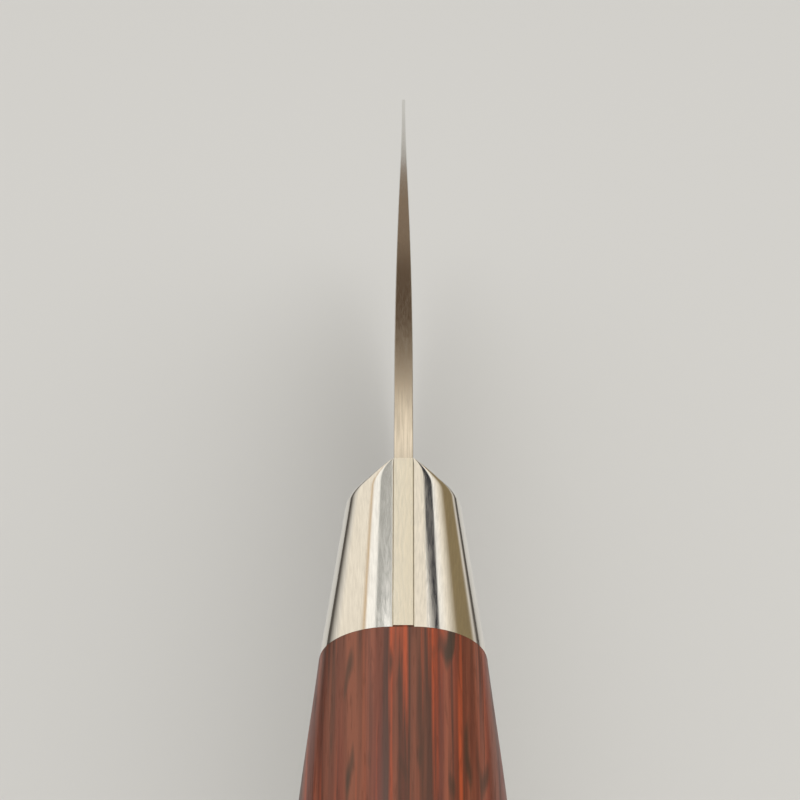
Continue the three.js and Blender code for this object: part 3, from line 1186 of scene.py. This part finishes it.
@dataclass
class LightTent:
    """A dome of light, softboxes and gaps ahead of the tip that the metal mirrors, and a lamp overhead.

    A span holds two values of a part of a ray's direction, or of its angle, between which a mask rises.
    """

    dome_low: Colour = (0.56, 0.55, 0.53)
    dome_middle: Colour = (0.75, 0.74, 0.715)
    dome_high: Colour = (1.15, 1.13, 1.09)
    left_shade: float = 0.3
    left_reach: Span = (0.1, 0.75)
    left_height: Span = (0.05, 0.3)
    ahead: Span = (0.78, 0.86)
    spine_aside: Span = (0.05, 0.12)
    spine_height: Span = (0.37, 0.42)
    window_start: Span = (0.02, 0.06)
    window_end: Span = (0.2, 0.28)
    window_height: Span = (0.495, 0.508)
    window_light: Colour = (3.2, 3.2, 3.2)
    gap_turn: Span = (math.radians(-18.5), math.radians(-10.0))
    gap_height: Span = (0.473, 0.482)
    sliver_blur: float = 0.01
    sliver_light: Colour = (1.0, 0.96, 0.9)
    lamp_length: float = 1.0
    lamp_width: float = 0.8
    lamp_energy: float = 2.5
    lamp_place: PerAxis = (-0.1, -0.05, 0.9)

    def world(self) -> None:
        """Lights the knife from every direction."""
        world = bpy.data.worlds.new("light_tent")
        world.use_nodes = True
        bpy.context.scene.world = world
        sky = Sky(world.node_tree)
        ahead = sky.rising(sky.x, self.ahead)
        light = sky.mix(ahead, self.dome(sky), self.boxes(sky))
        near_spine = sky.value("MULTIPLY", self.near_spine(sky), ahead)
        light = sky.mix(near_spine, light, sky.ramp(sky.z, self.room_stops()))
        window = sky.value("MULTIPLY", self.window(sky), ahead)
        light = sky.mix(window, light, self.window_light)
        background = sky.node("ShaderNodeBackground", {"Color": light, "Strength": 1.0})
        sky.node("ShaderNodeOutputWorld", {"Surface": background.outputs["Background"]})

    def dome(self, sky: Sky) -> Socket:
        """The dome's light: brightest overhead, dimmer on the knife's left above the horizon.

        Args:
            sky: The world's graph.

        Returns:
            The socket of its colour.
        """
        stops = [(0.0, self.dome_low), (0.5, self.dome_middle), (1.0, self.dome_high)]
        left = sky.rising(sky.y, self.left_reach)
        left = sky.value("MULTIPLY", left, sky.rising(sky.z, self.left_height))
        shade = sky.value("MULTIPLY", left, self.left_shade)
        return sky.mix(shade, sky.ramp(sky.z, stops), BLACK)

    def boxes(self, sky: Sky) -> Socket:
        """The softboxes and gaps, with a bright sliver that narrows the dark gap for rays that go higher.

        Args:
            sky: The world's graph.

        Returns:
            The socket of their colour.
        """
        share = sky.ranged(sky.turn, (-QUARTER_TURN, QUARTER_TURN))
        colour = sky.ramp(share, self.box_stops())
        right, left = self.gap_turn
        start = sky.ranged(sky.z, self.gap_height, (left, right))
        past = sky.rising(sky.value("SUBTRACT", sky.turn, start), (0.0, self.sliver_blur))
        sliver = sky.value("MULTIPLY", past, sky.value("LESS_THAN", sky.turn, left))
        return sky.mix(sliver, colour, self.sliver_light)

    def near_spine(self, sky: Sky) -> Socket:
        """The mask of the rays that the spine mirrors: low and close to the knife's plane.

        Args:
            sky: The world's graph.

        Returns:
            The socket of the mask.
        """
        aside = sky.rising(sky.value("ABSOLUTE", sky.y), self.spine_aside)
        above = sky.rising(sky.z, self.spine_height)
        narrow, low = sky.value("SUBTRACT", 1.0, aside), sky.value("SUBTRACT", 1.0, above)
        return sky.value("MULTIPLY", narrow, low)

    def window(self, sky: Sky) -> Socket:
        """The mask of a bright window above the softboxes, which the wood's lacquer mirrors.

        Args:
            sky: The world's graph.

        Returns:
            The socket of the mask.
        """
        start, end = sky.rising(sky.turn, self.window_start), sky.rising(sky.turn, self.window_end)
        across = sky.value("SUBTRACT", start, end)
        return sky.value("MULTIPLY", across, sky.rising(sky.z, self.window_height))

    @staticmethod
    def box_stops() -> list[Stop]:
        """Lines up the softboxes and gaps by their angle about the knife, in degrees from straight up.

        Returns:
            Stops from the right horizon to the left.
        """
        white, cream, pale = (1.04, 1.02, 0.98), (0.9, 0.83, 0.72), (0.72, 0.68, 0.62)
        grey, tan, olive = (0.4, 0.4, 0.385), (0.6, 0.43, 0.26), (0.26, 0.2, 0.11)
        gap, dusk, edge = (0.03, 0.03, 0.036), (0.35, 0.33, 0.3), (0.09, 0.08, 0.07)
        right_side = [
            (-90, edge), (-80, edge), (-71, pale), (-62, olive), (-38, olive),
            (-27, cream), (-20, white), (-19, gap), (-11, gap), (-10, cream),
        ]
        left_side = [
            (0, cream), (1, white), (2, grey), (12.5, grey), (13.5, white), (20, white), (22, tan),
            (25, cream), (50, cream), (60, pale), (71, dusk), (79, edge), (90, edge),
        ]
        return [((angle + 90) / 180, colour) for angle, colour in right_side + left_side]

    @staticmethod
    def room_stops() -> list[Stop]:
        """Lines up what the spine mirrors ahead of the tip: a dim room under a warm lamp.

        Returns:
            Stops by the height of the ray.
        """
        dim, deep, glow = (0.26, 0.19, 0.13), (0.11, 0.07, 0.043), (0.42, 0.33, 0.23)
        lamp, above = (1.6, 1.4, 1.12), (0.8, 0.7, 0.56)
        below = [(0.0, dim), (0.12, dim), (0.14, deep), (0.21, deep)]
        return below + [(0.265, glow), (0.324, lamp), (0.345, above)]

    def lamp(self) -> None:
        """Hangs a broad softbox over the knife."""
        data = bpy.data.lights.new("softbox", "AREA")
        data.shape = "RECTANGLE"
        data.size = self.lamp_length
        data.size_y = self.lamp_width
        data.energy = self.lamp_energy
        lamp = bpy.data.objects.new("softbox", data)
        place = Vector(self.lamp_place)
        turn = (-place).to_track_quat("-Z", "Y").to_matrix().to_4x4()
        lamp.matrix_world = Matrix.Translation(place) @ turn
        bpy.context.scene.collection.objects.link(lamp)

    def build(self) -> None:
        """Sets up the world and the lamp."""
        self.world()
        self.lamp()


@dataclass
class Studio:
    """A pale floor under the knife, and the camera behind and above the handle."""

    layout: Layout
    floor_colour: Colour = (0.62, 0.615, 0.6)
    floor_reach: float = 8.0
    floor_gap: float = 0.0002
    floor_roughness: float = 0.9
    picture_px: float = 800.0
    focal_px: float = 6200.0
    px_per_metre: float = 11060.0
    neck_px: Point = (403.5, 461.0)
    elevation: float = math.radians(19.64)
    roll: float = math.radians(0.15)
    clip_start: float = 0.01

    def floor(self) -> None:
        """Lays the floor just under the edge."""
        bm = bmesh.new()
        bmesh.ops.create_grid(bm, x_segments=1, y_segments=1, size=self.floor_reach)
        bmesh.ops.translate(bm, verts=bm.verts, vec=(0.0, 0.0, -self.floor_gap))
        mesh = bpy.data.meshes.new("floor")
        bm.to_mesh(mesh)
        bm.free()
        floor = bpy.data.objects.new("floor", mesh)
        bpy.context.scene.collection.objects.link(floor)
        material, graph, shader, _ = new_material("pale_floor")
        inputs = {
            "Base Color": (*self.floor_colour, 1.0),
            "Roughness": self.floor_roughness,
            "Specular IOR Level": 0.0,
        }
        graph.feed(shader, inputs)
        mesh.materials.append(material)

    def camera(self) -> None:
        """Sets the camera so that the neck lies at its place in the picture."""
        data = bpy.data.cameras.new("camera")
        data.lens = data.sensor_width * self.focal_px / self.picture_px
        data.clip_start = self.clip_start
        back = Vector((-math.cos(self.elevation), 0.0, math.sin(self.elevation)))
        up = Vector((math.sin(self.elevation), 0.0, math.cos(self.elevation)))
        right = Vector((0.0, -1.0, 0.0))
        rolled_right = right * math.cos(self.roll) + up * math.sin(self.roll)
        rolled_up = up * math.cos(self.roll) - right * math.sin(self.roll)
        neck = Vector((self.layout.front, 0.0, self.layout.spine))
        off_x, off_y = ((px - self.picture_px / 2) / self.px_per_metre for px in self.neck_px)
        place = neck + back * (self.focal_px / self.px_per_metre) - rolled_right * off_x + rolled_up * off_y
        turn = Matrix((rolled_right, rolled_up, back)).transposed().to_4x4()
        camera = bpy.data.objects.new("camera", data)
        camera.matrix_world = Matrix.Translation(place) @ turn
        bpy.context.scene.collection.objects.link(camera)
        bpy.context.scene.camera = camera

    def build(self) -> None:
        """Sets up camera, floor and plain colour."""
        self.camera()
        self.floor()
        bpy.context.scene.view_settings.view_transform = "Standard"


def main() -> None:
    """Builds the knife piece by piece, then its light, floor and camera."""
    logging.basicConfig(level=logging.INFO, format="%(name)s: %(message)s")
    sizes = Sizes()
    layout = Layout.from_frame(sizes.step)
    bolster = Bolster(layout, sizes)
    handle = Handle(layout, sizes)
    Blade(layout, sizes, bolster, handle).build(BLADE_STEEL.material(), TANG_STEEL.material())
    bolster.build(NICKEL_SILVER.material())
    handle.build(WoodFinish().material())
    Rivets(handle).build(RIVET_METAL.material())
    LightTent().build()
    Studio(layout).build()


if __name__ == "__main__":
    main()
